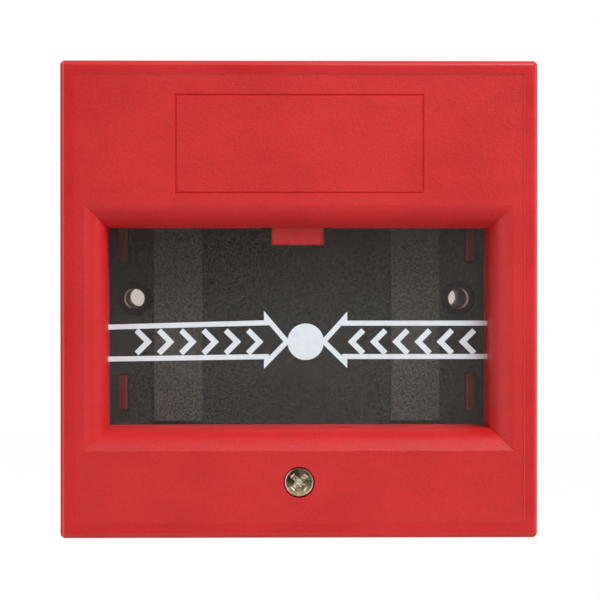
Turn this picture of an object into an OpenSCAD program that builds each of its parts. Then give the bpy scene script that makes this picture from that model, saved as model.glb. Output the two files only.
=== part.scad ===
// Wall-mounted break-glass manual call point with a surface back box.
//
// Modelled face up: X to the right, Y up the wall, Z out of the wall towards the user, and the
// middle of the wall face at the origin. stand() then turns every piece upright, so that the
// finished part has +Z up and its front facing -Y. All sizes are in millimetres.

/* [Overall] */
// Width and height of the square face
face_size = 86; // [84:0.5:92]
// Radius of the four corners, seen from the front
corner_radius = 1.9; // [1:0.1:2.5]
// Depth of the back box, from the wall to its front rim
box_depth = 31; // [29:0.5:40]
// Depth of the front cover, from the box rim to the face
cover_depth = 22; // [21:0.5:28]
// Distance between the two fixing screw centres
fixing_spacing = 60; // [59.5:0.1:61]

/* [Walls and gaps] */
// Side wall of the back box
box_wall = 2.4; // [2:0.1:2.8]
// Floor of the back box, against the wall
box_floor = 2.4; // [2:0.1:4]
// Side wall of the front cover
cover_wall = 1.5; // [1.2:0.1:1.8]
// Front wall of the cover
face_wall = 2; // [1.6:0.1:2.5]
// Thickness of the base plate
plate_t = 2; // [1.6:0.1:2.5]
// Gap between parts that slip together
fit_gap = 0.2; // [0.15:0.01:0.25]
// Seam between the cover's rim and the box
seam_gap = 0.2; // [0.15:0.01:0.3]
// How deep the box is sunk along the seam, which makes a shadow line
seam_step = 0.4; // [0.2:0.1:0.8]

/* [Face] */
// Width of the raised rim around the face
rim_width = 2.5; // [1.5:0.1:3]
// How far the textured face lies below the rim
rim_step = 0.15; // [0.1:0.05:0.5]
// Radius that rounds the cover's front edges
edge_radius = 0.9; // [0.5:0.1:1.2]
// How much the cover's sides draw in towards the front, each side
cover_draft = 0.25; // [0:0.05:0.5]
// Width of the label field
label_w = 44.3; // [36:0.1:50]
// Height of the label field
label_h = 17.5; // [14:0.1:18]
// Distance of the label field's middle from the upper edge
label_edge = 15.2; // [14.6:0.1:15.6]
// Width of the V-shaped groove around the label field, which is half as deep
label_groove = 0.5; // [0.3:0.1:0.8]

/* [Window] */
// Distance from the window to the left and right edges of the face
side_band = 8.5; // [8.2:0.05:10]
// Distance from the window to the upper edge of the face
upper_band = 30.1; // [29.6:0.05:31]
// Distance from the window to the lower edge of the face
lower_band = 19.8; // [19.7:0.05:22]
// Radius of the rolled edge around the window
roll_radius = 5; // [4.5:0.1:5.5]
// Slope at which the rolled edge leaves the face, in degrees
roll_start = 12; // [5:1:20]
// Depth of the legend film behind the raised rim
glass_depth = 9.5; // [8.5:0.1:10]
// How far the glass laps behind each edge of the window
glass_lap = 2.4; // [1.8:0.1:2.6]
// Thickness of the glass
glass_t = 1.85; // [1.5:0.05:2.1]
// Thickness of the printed film on the glass
film_t = 0.15; // [0.1:0.05:0.2]
// Wall of the window's tunnel
tunnel_wall = 2.6; // [2:0.1:3]
// Wall of the pocket that holds the glass
pocket_wall = 1.4; // [1.2:0.1:1.6]

/* [Cover screw] */
// Distance of the cover screw from the lower edge of the face
screw_edge = 10.2; // [9.8:0.1:10.4]
// Diameter of the screw head
screw_head_d = 5.2; // [5:0.1:6]
// Height of the screw head
screw_head_h = 2.2; // [1.8:0.1:2.4]
// Length of the screw under its head
screw_length = 25; // [24.5:0.5:26]
// How far the head's top lies below the face
screw_sink = 0.35; // [0.1:0.05:0.6]

/* [Base plate] */
// Inner edge of the two raised bands, from the middle
band_inner = 17.5; // [16:0.1:19]
// Width of the two raised bands
band_w = 8.9; // [7:0.1:9.1]
// Height of the two raised bands
band_rise = 0.7; // [0.4:0.1:1]
// Diameter of the sunk seat around each fixing hole
seat_d = 6.6; // [6.2:0.1:7]
// Diameter of the fixing holes in the plate
fixing_hole_d = 4; // [3.8:0.1:4.5]
// Length of the four box clips
clip_length = 6.3; // [5:0.1:7]
// Thickness of the four box clips
clip_t = 1.1; // [1:0.1:1.5]

/* [Trip lever and switch] */
// Width of the lever's pad on the glass
pad_w = 9.5; // [8:0.1:10]
// How far the pad shows below the window's upper edge
pad_show = 3.05; // [2:0.05:4]
// Height of the lever's pivot above the window's upper edge
pivot_over = 13.95; // [13.5:0.05:14.5]
// Diameter of the pivot pin
pivot_d = 2; // [1.8:0.1:2.2]
// Diameter of the torsion spring's wire
spring_wire = 0.5; // [0.4:0.05:0.6]
// Length of the switch body
switch_l = 19.8; // [19.5:0.1:20]
// Width of the switch body
switch_w = 6.4; // [6:0.1:6.6]
// Height of the switch body, from its terminals to its plunger side
switch_h = 10.2; // [9.8:0.1:10.4]

/* [Board and terminals] */
// Width of the circuit board
board_w = 46; // [42:0.5:48]
// Height of the circuit board
board_h = 28; // [27:0.5:30]
// Thickness of the circuit board
board_t = 1.6; // [1.2:0.1:1.8]
// Distance between neighbouring terminals of the terminal block
pole_pitch = 5.08; // [5:0.01:5.2]

/* [Wall side] */
// Diameter of the cable entry in the box floor
entry_d = 20; // [16:0.5:22]
// Distance of the cable entry below the middle of the face
entry_drop = 19; // [18:0.5:20]
// Width of the wall-fixing hole pattern
wall_hole_x = 50; // [46:0.5:50]
// Height of the wall-fixing hole pattern
wall_hole_y = 48; // [46:0.5:54]
// Diameter of the wall-fixing holes
wall_hole_d = 4.5; // [4:0.1:5]

/* [Hidden] */
$fn = 64;

red = "#c9302f";
deep_red = "#b72c2b";
black_plastic = "#33322f";
cut = 1;                                    // how far a cutter runs past the face that it opens
hair = 0.05;                                // gap between touching parts that move on each other
sink = 0.5;                                 // how far a boss or rib runs into the wall that carries it

// Places on the face
window_w = face_size - 2 * side_band;
window_top = face_size / 2 - upper_band;
window_bottom = lower_band - face_size / 2;
window_h = window_top - window_bottom;
window_mid = (window_top + window_bottom) / 2;
label_rise = face_size / 2 - label_edge;
screw_y = screw_edge - face_size / 2;

// Levels above the wall
plate_back = box_depth;
plate_front = plate_back + plate_t;
rim_z = box_depth + cover_depth;            // top of the raised rim
face_z = rim_z - rim_step;                  // textured face
film_front = rim_z - glass_depth;
glass_front = film_front - film_t;
glass_back = glass_front - glass_t;
pocket_back = glass_back - 4.6;             // rear rim of the pocket
frame_back = pocket_back - 1.4;
cavity_top = face_z - face_wall;

// Cover
cover_inner = face_size - 2 * cover_wall;
rim_corner = 0.9;
roll_depth = roll_radius * cos(roll_start);
roll_width = roll_radius * (1 - sin(roll_start));
glass_w = window_w + 2 * glass_lap;
glass_h = window_h + 2 * glass_lap;
pocket_w = glass_w + 2 * fit_gap;
pocket_h = glass_h + 2 * fit_gap;
flange_t = 1.5;                             // flange that the film's edge rests against
boss_back = plate_front + 0.4;              // rear end of the cover screw's boss
web_t = 1.4;
web_back = plate_front + 6;
rib_t = 1;
rib_h = 3;
snap_x = glass_w / 2 - 13;
snap_length = 6;
snap_rise = 0.7;
snap_t = 1.2;
snap_z = pocket_back + 1.6;
lever_notch = 13.4;                         // gap in the pocket and the frame that the lever passes

// Hinge catches: the cover turns on its upper rear edge
hinge_x = 22;
catch_w = 10;
catch_gap = 0.4;
catch_t = 1.4;
catch_drop = 2.1;
catch_back = plate_front + catch_gap;
catch_front = catch_back + catch_t;
hook_gap = 0.5;
hook_t = 1.3;
hook_front = catch_front + hook_gap + hook_t;
hook_grip = 0.4;                            // how far hook and catch overlap
hook_top = cover_inner / 2 - catch_drop + hook_grip;
hook_stem = hook_top - 1.15;
hook_wall = 1.6;

// Cover screw and its thread
screw_core_r = 1.2;                         // the thread's core
screw_shank_r = 1.45;
screw_bore_r = 1.7;
screw_head_gap = 0.2;
screw_dome_r = 12;                          // radius of the low dome on the pan head
screw_edge_r = 0.2;                         // rounding of the head's upper edge
recess_reach = 2;                           // from the middle to the end of each arm of the cross
recess_w = 1;
recess_depth = 1.25;
cover_boss_r = 4;
seat_z = face_z - screw_sink - screw_head_h;
screw_tip = seat_z - screw_length;
insert_r = 2.1;
insert_bore_r = 1.5;                        // the thread's outer diameter
insert_length = 5.7;
insert_boss_r = 3.6;
insert_boss_end = plate_back - insert_length - 1.3;

// Back box
seam_line = 0.9;                            // width of the sunk line along the seam
wall_seat_r = 4.5;                          // seats of the wall screws inside the box
wall_seat_h = 1;
entry_rim = 1.6;                            // rim round the cable entry inside the box
entry_rim_h = 1.2;
knockout_r = 10;                            // break-out rings for conduit in the box's walls
knockout_line = 1;                          // width of the ring's groove
knockout_depth = 0.5;
post_web_t = 1.6;
post_web_drop = 4;                          // from the box's rim down to the web

// Base plate and box posts
plate_size = cover_inner - 2 * fit_gap;
seat_depth = 1;
post_r = 4;
post_bore_r = 1.75;
clip_edge = 11.1;                           // from the clips to the side of the face
clip_x = face_size / 2 - clip_edge;
clip_y = [10.1, -17.3];
clip_hook = 0.6;                            // how far a clip's nose stands over the plate
clip_nose = 0.55;
clip_slot_gap = 0.3;
clip_lip = 0.25;                            // upright edge of the nose
clip_foot = 5;                              // height and half width of the foot
clip_foot_w = 2.6;
band_top = window_top + 2;
band_bottom = window_bottom + 0.6;

// Trip lever
pivot_z = plate_front + 6;
pivot_rise = window_top + pivot_over;
pad_low = window_top - pad_show;
pad_h = 6.2;
pad_round = 1;
arm_reach = 13;                             // from the pivot down to the arm's end
nub_r = 1.1;
lug_t = 2;
lever_hub_r = 2.4;
lever_w = 11;
lever_t = 2;
lever_back = pivot_z - 1.4;
pin_fit = 0.05;                             // radial running clearance of the lever on its pin
coil_gap = 3.8;                             // width of the lever's gap for the spring coil
spring_turns = 3.75;
spring_steps = 60;
spring_arm = 5;                             // reach of the spring's leg under the lever
spring_coil_r = pivot_d / 2 + 0.45 + spring_wire / 2;
lever_nub = 1;

// Switch
switch_arm = 6.4;                           // from the pivot down to the plunger
switch_y = pivot_rise - switch_arm;
switch_x = 2.6;                             // the plunger is off the middle of the body
switch_front = lever_back - lever_nub - hair - 0.9;
switch_back = switch_front - switch_h;
switch_wall = 0.9;
plunger_r = 1.15;
plunger_fit = 0.1;
blade_t = 0.2;
terminal_t = 0.5;
terminal_w = 2.4;
switch_hole_pitch = 9.5;
switch_floor = 2.5;                         // solid foot of the body that the rivets pass
rivet_r = 0.7;
tag_end = 4.5;                              // how far the tags stand out behind the body
common_x = 9.9;
open_x = 2.6;
closed_x = -6.05;
contact_x = -4.3;
contact_r = 0.7;
contact_h = 0.9;
arm_past = 0.9;                             // how far an arm runs past its contact
blade_z = switch_back + 5.6;                // height of the blade's fixed end
blade_drop = 1.05;                          // how far the pressed blade's tip lies below it
blade_w = 3;
blade_angle = atan(blade_drop / (common_x - contact_x));

// Circuit board
board_front = switch_back - 3.6;
board_back = board_front - board_t;
board_mid = switch_y - 3.1;                 // height of the board's middle
board_hole_x = board_w / 2 - 3;
board_hole_y = board_h / 2 - 3;
standoff_r = 2.6;
board_screw_r = 1.1;
board_screw_head_r = 2;
board_screw_head_h = 1.4;
board_screw_length = 6;                     // in the standoff

// Terminal block
poles = 3;
block_w = poles * pole_pitch + 1;
block_h = 8.2;
block_d = 10;
block_y = board_mid - board_h / 2 + block_h / 2 + 1;
block_bevel = 2.6;                          // sloped edge over the wire entries
cage_w = 3.6;
cage_h = 4.2;
cage_top = 1;                               // from the board to the cage
cage_d = 5.2;                               // depth of the cage
cage_wall = 0.6;
cage_mouth = 3.2;                           // height of the cage's opening for the wire
entry_w = 3;
entry_h = 3;
pole_pin_r = 0.5;
pole_pin_end = 0.6;                         // how far the pins stand out of the board
pole_fit = 0.1;
well_r = 1.9;
clamp_head_r = 1.7;
clamp_head_h = 1.8;
clamp_head_drop = 1.2;                      // from the block's end down to the screw's head
clamp_shank_r = 1.2;
clamp_slot_w = 0.6;
clamp_slot_h = 0.8;

// ---------------------------------------------------------------------------------------------
// Shared shapes

module stand() rotate([90, 0, 0]) children();

module rounded_square(w, h, r) {
    translate([-w / 2 + r, -h / 2]) square([w - 2 * r, h]);
    translate([-w / 2, -h / 2 + r]) square([w, h - 2 * r]);
    for (x = [-1, 1], y = [-1, 1])
        translate([x * (w / 2 - r), y * (h / 2 - r)]) circle(r);
}

// A bar with a rounded outline, from level z0 to level z1
module bar(w, h, r, z0, z1)
    translate([0, 0, z0]) linear_extrude(z1 - z0) rounded_square(w, h, r);

// A square-cornered block centred on X and Y, from level z0 to level z1
module slab(w, h, z0, z1)
    translate([-w / 2, -h / 2, z0]) cube([w, h, z1 - z0]);

// A round bar along Z, from level z0 to level z1
module rod(r, z0, z1) translate([0, 0, z0]) cylinder(r = r, h = z1 - z0);

module mirrored_x() {
    children();
    mirror([1, 0, 0]) children();
}

module at_fixings()
    for (side = [-1, 1]) translate([side * fixing_spacing / 2, 0, 0]) children();

module at_clips()
    for (side = [-1, 1], y = clip_y) translate([side * clip_x, y, 0]) children();

module at_hinges()
    for (side = [-1, 1]) translate([side * hinge_x, 0, 0]) children();

module at_board_holes()
    for (x = [-1, 1], y = [-1, 1])
        translate([x * board_hole_x, board_mid + y * board_hole_y, 0]) children();

module at_poles()
    for (i = [0 : poles - 1])
        translate([(i - (poles - 1) / 2) * pole_pitch, block_y, 0]) children();

// ---------------------------------------------------------------------------------------------
// Back box

// Ring-shaped cutter that lies with its middle on the outside of a wall
module knockout_ring()
    translate([0, 0, -knockout_depth]) linear_extrude(knockout_depth + cut) difference() {
        circle(knockout_r + knockout_line / 2);
        circle(knockout_r - knockout_line / 2);
    }

// Outside of the box, drawn in along the seam
module box_outside() {
    line_size = face_size - 2 * seam_step;
    bar(face_size, face_size, corner_radius, 0, box_depth - seam_line);
    bar(line_size, line_size, corner_radius - seam_step / 2, box_depth - seam_line - cut, box_depth);
}

module box_clip() {
    top = plate_front + hair;
    nose = clip_t / 2 + clip_nose;
    along_y(clip_length) polygon([
        [-clip_t / 2, 0], [clip_t / 2, 0], [clip_t / 2, top], [nose, top], [nose, top + clip_lip],
        [-clip_t / 4, top + clip_hook + clip_lip], [-clip_t / 2, top + clip_hook + clip_lip]
    ]);
    along_y(clip_length) polygon([
        [-clip_foot_w, 0], [clip_foot_w, 0], [clip_foot_w, box_floor], [clip_t / 2, box_floor + clip_foot],
        [-clip_t / 2, box_floor + clip_foot], [-clip_foot_w, box_floor]
    ]);
}

module back_box() color(deep_red) stand() {
    inner = face_size - 2 * box_wall;
    difference() {
        union() {
            difference() {
                box_outside();
                bar(inner, inner, 1, box_floor, box_depth + cut);
            }
            at_fixings() rod(post_r, 0, box_depth);
            // Webs that tie the posts to the side walls
            mirrored_x() translate([fixing_spacing / 2, -post_web_t / 2, 0])
                cube([inner / 2 - fixing_spacing / 2 + sink, post_web_t, box_depth - post_web_drop]);
            mirrored_x() for (y = clip_y) translate([clip_x, y, 0])
                box_clip();
            // Screw seats on the inside of the floor
            for (x = [-1, 1], y = [-1, 1])
                translate([x * wall_hole_x / 2, y * wall_hole_y / 2, 0])
                    rod(wall_seat_r, 0, box_floor + wall_seat_h);
            translate([0, -entry_drop, 0]) rod(entry_d / 2 + entry_rim, 0, box_floor + entry_rim_h);
        }
        at_fixings() rod(post_bore_r, -cut, box_depth + cut);
        for (x = [-1, 1], y = [-1, 1])
            translate([x * wall_hole_x / 2, y * wall_hole_y / 2, 0])
                rod(wall_hole_d / 2, -cut, box_floor + wall_seat_h + cut);
        translate([0, -entry_drop, 0]) rod(entry_d / 2, -cut, box_floor + entry_rim_h + cut);
        // Break-out rings for surface conduit in the upper and lower walls
        for (side = [0, 180]) rotate([0, 0, side])
            translate([0, face_size / 2, box_depth / 2]) rotate([-90, 0, 0]) knockout_ring();
    }
}

// ---------------------------------------------------------------------------------------------
// Base plate

module plate_hook() translate([1 - catch_w / 2, hook_stem - hook_wall, 0]) {
    translate([0, 0, plate_front - cut]) cube([catch_w - 2, hook_wall, hook_front - plate_front + cut]);
    translate([0, 0, hook_front - hook_t]) cube([catch_w - 2, hook_top - hook_stem + hook_wall, hook_t]);
}

module pivot_lug() translate([lever_w / 2 + fit_gap, pivot_rise, 0]) rotate([90, 0, 90]) {
    r = lever_hub_r + 0.5;
    linear_extrude(lug_t) translate([-r, plate_front - cut]) square([2 * r, pivot_z - plate_front + cut]);
    linear_extrude(lug_t) translate([0, pivot_z]) circle(r);
}

module base_plate() color(black_plastic) stand() {
    difference() {
        union() {
            bar(plate_size, plate_size, 1.2, plate_back, plate_front);
            // Raised bands either side of the middle
            mirrored_x() translate([band_inner, band_bottom, plate_front - cut])
                cube([band_w, band_top - band_bottom, band_rise + cut]);
            // Boss for the cover screw's insert, with a web on either side
            translate([0, screw_y, 0]) {
                rod(insert_boss_r, insert_boss_end, plate_back + cut);
                mirrored_x() translate([insert_boss_r - sink, -0.6, plate_back - 5])
                    cube([5, 1.2, 5 + cut]);
            }
            at_board_holes() rod(standoff_r, board_front, plate_back + cut);
            at_hinges() plate_hook();
            mirrored_x() pivot_lug();
        }
        at_fixings() {
            rod(fixing_hole_d / 2, plate_back - cut, plate_front + cut);
            rod(seat_d / 2, plate_front - seat_depth, plate_front + band_rise + cut);
        }
        at_clips() translate([0, 0, plate_back - cut]) linear_extrude(plate_t + band_rise + 2 * cut)
            square([clip_t + 2 * clip_slot_gap, clip_length + 2 * clip_slot_gap], center = true);
        translate([0, screw_y, 0]) {
            rod(insert_bore_r + 0.5, plate_back, plate_front + cut);
            rod(insert_r, plate_back - insert_length, plate_back);
            rod(insert_bore_r + 0.2, insert_boss_end - cut, plate_back);
        }
        at_board_holes() rod(board_screw_r + hair, board_front - cut, board_front + board_screw_length + 1);
        // Opening that the switch stands in
        translate([switch_x, switch_y, 0])
            slab(switch_l + 2 * fit_gap, switch_w + 2 * fit_gap, plate_back - cut, plate_front + cut);
        translate([0, pivot_rise, pivot_z]) rotate([0, 90, 0])
            cylinder(r = pivot_d / 2, h = 2 * (lever_w + lug_t), center = true);
    }
}

module threaded_insert() color("#b9973e") stand()
    translate([0, screw_y, plate_back - insert_length]) difference() {
        knurl = insert_length / 4;
        union() {
            rod(insert_r - 0.3, 0, insert_length);
            for (i = [0 : 2]) translate([0, 0, i * (insert_length - knurl) / 2]) rod(insert_r, 0, knurl);
        }
        rod(insert_bore_r, -cut, insert_length + cut);
    }

// ---------------------------------------------------------------------------------------------
// Front cover

// Profile of the cover across its width: drawn-in sides and rounded front edges
module cover_profile() {
    z0 = plate_back + seam_gap;
    slope = atan(cover_draft / (rim_z - z0));
    cz = rim_z - edge_radius;
    cx = face_size / 2 - cover_draft * (cz - z0) / (rim_z - z0) - edge_radius / cos(slope);
    for (side = [0, 1]) mirror([side, 0]) {
        polygon([[0, z0], [face_size / 2, z0],
                 [cx + edge_radius * cos(slope), cz + edge_radius * sin(slope)],
                 [cx, rim_z], [0, rim_z]]);
        translate([cx, cz]) circle(edge_radius);
    }
}

// Profile of the window's cutter: straight at the back, rolled over at the face
module window_profile(w) {
    roll_z = face_z - roll_depth;
    translate([-w / 2, pocket_back - cut]) square([w, roll_z - pocket_back + cut + 0.01]);
    difference() {
        translate([-w / 2 - roll_width, roll_z]) square([w + 2 * roll_width, roll_depth + cut]);
        for (side = [-1, 1]) translate([side * (w / 2 + roll_radius), roll_z]) circle(roll_radius);
    }
}

// A profile drawn in X and Z, carried along Y over the given length
module along_y(length)
    translate([0, length / 2, 0]) rotate([90, 0, 0]) linear_extrude(length) children();

// The same profile carried along X
module along_x(length) rotate([0, 0, 90]) along_y(length) children();

module window_cutter() translate([0, window_mid, 0]) intersection() {
    along_y(face_size) window_profile(window_w);
    along_x(face_size) window_profile(window_h);
}

// Places of the four snaps, at the given distance from the pane's middle line, turned outwards
module at_snaps(y)
    for (x = [-1, 1], turn = [0, 180])
        translate([0, window_mid, snap_z]) rotate([0, 0, turn]) translate([x * snap_x, y, 0]) children();

module cover_shell() {
    z0 = plate_back + seam_gap;
    inside_rim = face_size - 2 * rim_width;
    difference() {
        intersection() {
            along_y(face_size) cover_profile();
            along_x(face_size) cover_profile();
            bar(face_size, face_size, corner_radius, z0, rim_z);
        }
        bar(inside_rim, inside_rim, rim_corner, face_z, rim_z + cut);
        bar(cover_inner, cover_inner, 0.8, z0 - cut, cavity_top);
    }
}

// Tunnel of the window and pocket of the glass
module window_tunnel() translate([0, window_mid, 0]) {
    slab(window_w + 2 * tunnel_wall, window_h + 2 * tunnel_wall, film_front, cavity_top + sink);
    slab(pocket_w + 2 * pocket_wall, pocket_h + 2 * pocket_wall, pocket_back, film_front + flange_t);
}

// Boss for the cover screw, with a web to the lower wall and one to either side
module cover_boss() translate([0, screw_y, 0]) {
    rod(cover_boss_r, boss_back, cavity_top + sink);
    translate([-web_t / 2, -screw_edge + cover_wall - sink, web_back])
        cube([web_t, screw_edge - cover_wall - cover_boss_r + 2 * sink, cavity_top + sink - web_back]);
    mirrored_x() translate([cover_boss_r - sink, -web_t / 2, web_back + 4])
        cube([16, web_t, cavity_top + sink - web_back - 4]);
}

// Stiffening ribs behind the label field
module label_ribs() {
    low = window_top + tunnel_wall - sink;
    for (i = [-2, -1, 1, 2])
        translate([i * label_w / 4 - rib_t / 2, low, cavity_top - rib_h])
            cube([rib_t, cover_inner / 2 - low + sink, rib_h + sink]);
}

// A block whose sides lean out by lean at the face and stand upright at the groove's floor
module leaning_block(w, h, lean, low) {
    intersection() {
        along_y(face_size) leaning_profile(w, lean, low);
        along_x(face_size) leaning_profile(h, lean, low);
    }
}

module leaning_profile(w, lean, low)
    polygon([
        [-w / 2, low], [w / 2, low], [w / 2, face_z - label_groove / 2], [w / 2 + lean, face_z],
        [w / 2 + lean, rim_z], [-w / 2 - lean, rim_z], [-w / 2 - lean, face_z],
        [-w / 2, face_z - label_groove / 2]
    ]);

module label_groove_cutter() translate([0, label_rise, 0]) difference() {
    low = face_z - label_groove / 2;
    lean = label_groove / 2;
    leaning_block(label_w + hair, label_h + hair, lean, low);
    leaning_block(label_w - hair, label_h - hair, -lean, low - cut);
}

module front_cover() color(red) stand() difference() {
    union() {
        cover_shell();
        window_tunnel();
        cover_boss();
        label_ribs();
        at_hinges() translate([-catch_w / 2, cover_inner / 2 - catch_drop, catch_back])
            cube([catch_w, catch_drop + sink, catch_t]);
    }
    window_cutter();
    translate([0, window_mid, 0]) bar(pocket_w, pocket_h, 0.5, pocket_back - cut, film_front);
    // Gap that the trip lever passes
    translate([-lever_notch / 2, window_top, pocket_back - cut])
        cube([lever_notch, glass_lap + fit_gap + pocket_wall + cut, film_front - pocket_back + cut]);
    at_snaps(pocket_h / 2 - cut) translate([-snap_length / 2 - fit_gap, 0, -fit_gap / 2])
        cube([snap_length + 2 * fit_gap, pocket_wall + 2 * cut, snap_t + fit_gap]);
    translate([0, screw_y, 0]) {
        rod(screw_bore_r, plate_front, rim_z + cut);
        rod(screw_head_d / 2 + screw_head_gap, seat_z, rim_z + cut);
    }
    label_groove_cutter();
}

module glass_frame() color(deep_red) stand() difference() {
    w = pocket_w - 2 * fit_gap;
    h = pocket_h - 2 * fit_gap;
    union() {
        translate([0, window_mid, 0]) {
            slab(w, h, frame_back, glass_back - hair);
            slab(pocket_w + pocket_wall, pocket_h + pocket_wall, frame_back, pocket_back - hair);
        }
        at_snaps(h / 2 - sink) translate([-snap_length / 2, 0, 0])
            cube([snap_length, sink + fit_gap + snap_rise, snap_t]);
    }
    translate([0, window_mid, 0]) slab(window_w, window_h, frame_back - cut, glass_back + cut);
    translate([-lever_notch / 2, window_top - cut, frame_back - cut])
        cube([lever_notch, glass_lap + 2 * pocket_wall + cut, glass_back - frame_back + 2 * cut]);
}

module glass_pane() color("#dfeeee", 0.4) stand() translate([0, window_mid, 0])
    bar(glass_w, glass_h, 0.3, glass_back, glass_front);

module legend_film() color("#f2f6f8", 0.3) stand() translate([0, window_mid, 0])
    bar(glass_w - 0.6, glass_h - 0.6, 0.3, glass_front, film_front);

// Pan head: flat seat, upright side, rounded edge and low dome
module pan_head() {
    r = screw_head_d / 2;
    top = seat_z + screw_head_h;
    flat_r = r - screw_edge_r;
    edge_z = top - screw_dome_r + sqrt(pow(screw_dome_r, 2) - pow(flat_r, 2)) - screw_edge_r;
    intersection() {
        union() {
            rod(r, seat_z, edge_z);
            rod(flat_r, seat_z, top);
            translate([0, 0, edge_z]) rotate_extrude() translate([flat_r, 0]) circle(screw_edge_r);
        }
        translate([0, 0, top - screw_dome_r]) sphere(screw_dome_r);
    }
}

module cover_screw() color("#b8ad92") stand() translate([0, screw_y, 0]) difference() {
    union() {
        pan_head();
        rod(screw_shank_r, plate_front + 0.4, seat_z + 0.1);
        rod(screw_core_r, screw_tip, plate_front + 1);
    }
    // Cross recess with a tapered middle
    for (turn = [45, 135]) rotate([0, 0, turn])
        slab(2 * recess_reach, recess_w, seat_z + screw_head_h - recess_depth, rim_z);
    translate([0, 0, seat_z + screw_head_h - recess_depth])
        cylinder(r1 = recess_w / 2, r2 = recess_w * 1.3, h = recess_depth + hair);
}

// ---------------------------------------------------------------------------------------------
// Trip lever, its pin and its spring

// Outline of the pad between two edges, rounded at the front
module pad_profile(low, high) {
    front = glass_back - hair;
    translate([low, lever_back]) square([high - low, front - lever_back - pad_round]);
    translate([low + pad_round, lever_back]) square([high - low - 2 * pad_round, front - lever_back]);
    for (at = [low + pad_round, high - pad_round]) translate([at, front - pad_round]) circle(pad_round);
}

// Pad that bears on the back of the glass, rounded on all four front edges
module lever_pad() intersection() {
    rotate([90, 0, 90]) translate([0, 0, -pad_w / 2]) linear_extrude(pad_w)
        pad_profile(pad_low, pad_low + pad_h);
    translate([0, pad_low, 0]) along_y(4 * pad_h) pad_profile(-pad_w / 2, pad_w / 2);
}

module trip_lever() color(red) stand() difference() {
    union() {
        translate([0, pivot_rise, pivot_z]) rotate([0, 90, 0])
            cylinder(r = lever_hub_r, h = lever_w, center = true);
        translate([-lever_w / 2, pivot_rise - arm_reach, lever_back]) cube([lever_w, arm_reach, lever_t]);
        lever_pad();
        // Nub over the switch plunger
        translate([0, switch_y, lever_back]) rod(nub_r, -lever_nub, sink);
    }
    translate([0, pivot_rise, pivot_z]) rotate([0, 90, 0])
        cylinder(r = pivot_d / 2 + pin_fit, h = 2 * lever_w, center = true);
    translate([0, pivot_rise, 0]) slab(coil_gap, 3 * lever_hub_r, plate_front, rim_z);
}

module pivot_pin() color("#b9bcc0") stand() translate([0, pivot_rise, pivot_z]) rotate([0, 90, 0]) {
    reach = lever_w / 2 + fit_gap + lug_t;
    rod(pivot_d / 2, -reach - 0.4, reach + 0.2);
    rod(pivot_d / 2 + 0.6, reach + hair, reach + 0.8);
}

// Middle line of the spring: leg under the lever's arm, turns round the pin, leg to the plate
function spring_path(half) = concat(
    [[-half, -spring_arm, -spring_coil_r], [-half, -spring_arm / 2, -spring_coil_r]],
    [for (i = [0 : spring_steps]) let (turn = 270 + 360 * spring_turns * i / spring_steps)
        [-half + 2 * half * i / spring_steps, spring_coil_r * cos(turn), spring_coil_r * sin(turn)]],
    [for (part = [0.5, 1]) [half, -spring_coil_r, part * (plate_front + hair - pivot_z)]]
);

// Tube of round section swept along a path whose points lie close together
module swept_wire(path, r, sides = 8) {
    n = len(path);
    function unit(v) = v / norm(v);
    function along(i) = unit(path[min(i + 1, n - 1)] - path[max(i - 1, 0)]);
    rings = [for (i = [0 : n - 1]) let (u = unit(cross(along(i), cross([1, 0, 0], along(i)))),
                                        v = cross(along(i), u))
        for (k = [0 : sides - 1]) path[i] + r * (u * cos(360 * k / sides) + v * sin(360 * k / sides))];
    polyhedron(rings, concat(
        [[for (k = [sides - 1 : -1 : 0]) k], [for (k = [0 : sides - 1]) (n - 1) * sides + k]],
        [for (i = [0 : n - 2], k = [0 : sides - 1]) let (m = (k + 1) % sides, a = i * sides, b = a + sides)
            [a + k, a + m, b + m, b + k]]
    ));
}

module trip_spring() color("#9aa0a6") stand() translate([0, pivot_rise, pivot_z])
    swept_wire(spring_path(spring_turns * spring_wire * 1.08 / 2), spring_wire / 2);

// ---------------------------------------------------------------------------------------------
// Switch

module at_rivets()
    for (side = [-1, 1])
        translate([switch_x + side * switch_hole_pitch / 2, switch_y, switch_back + switch_floor / 2])
            rotate([90, 0, 0]) children();

// Places of the three tags
module at_tags()
    for (x = [closed_x, open_x, common_x]) translate([x, switch_y, 0]) children();

// A flat strip that stands upright in the switch, from level z0 to level z1
module strip(x, z0, z1, w = terminal_w)
    translate([x - terminal_t / 2, switch_y - w / 2, z0]) cube([terminal_t, w, z1 - z0]);

module switch_body() color("#2b2a2c") stand() difference() {
    y_low = -switch_w / 2;
    inner_x = switch_l - 2 * switch_wall;
    lid_y = switch_w / 2 - switch_wall;
    translate([switch_x, switch_y, 0]) difference() {
        slab(switch_l, switch_w, switch_back, switch_front);
        translate([-inner_x / 2, y_low + switch_wall, switch_back + switch_floor])
            cube([inner_x, switch_w, switch_h - switch_floor - switch_wall]);
        translate([-switch_l / 2 - cut, lid_y, switch_back - cut])
            cube([switch_l + 2 * cut, switch_w, switch_h + 2 * cut]);
    }
    translate([0, switch_y, 0]) rod(plunger_r + plunger_fit, switch_front - 2, switch_front + cut);
    at_rivets() cylinder(r = rivet_r + hair, h = 2 * switch_w, center = true);
    at_tags() slab(terminal_t + 2 * hair, terminal_w + 2 * hair, switch_back - cut,
                   switch_back + switch_floor + cut);
}

module switch_lid() color("#3a3a3d") stand() difference() {
    translate([switch_x - switch_l / 2, switch_y + switch_w / 2 - switch_wall, switch_back])
        cube([switch_l, switch_wall, switch_h]);
    at_rivets() cylinder(r = rivet_r + hair, h = 2 * switch_w, center = true);
}

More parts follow.
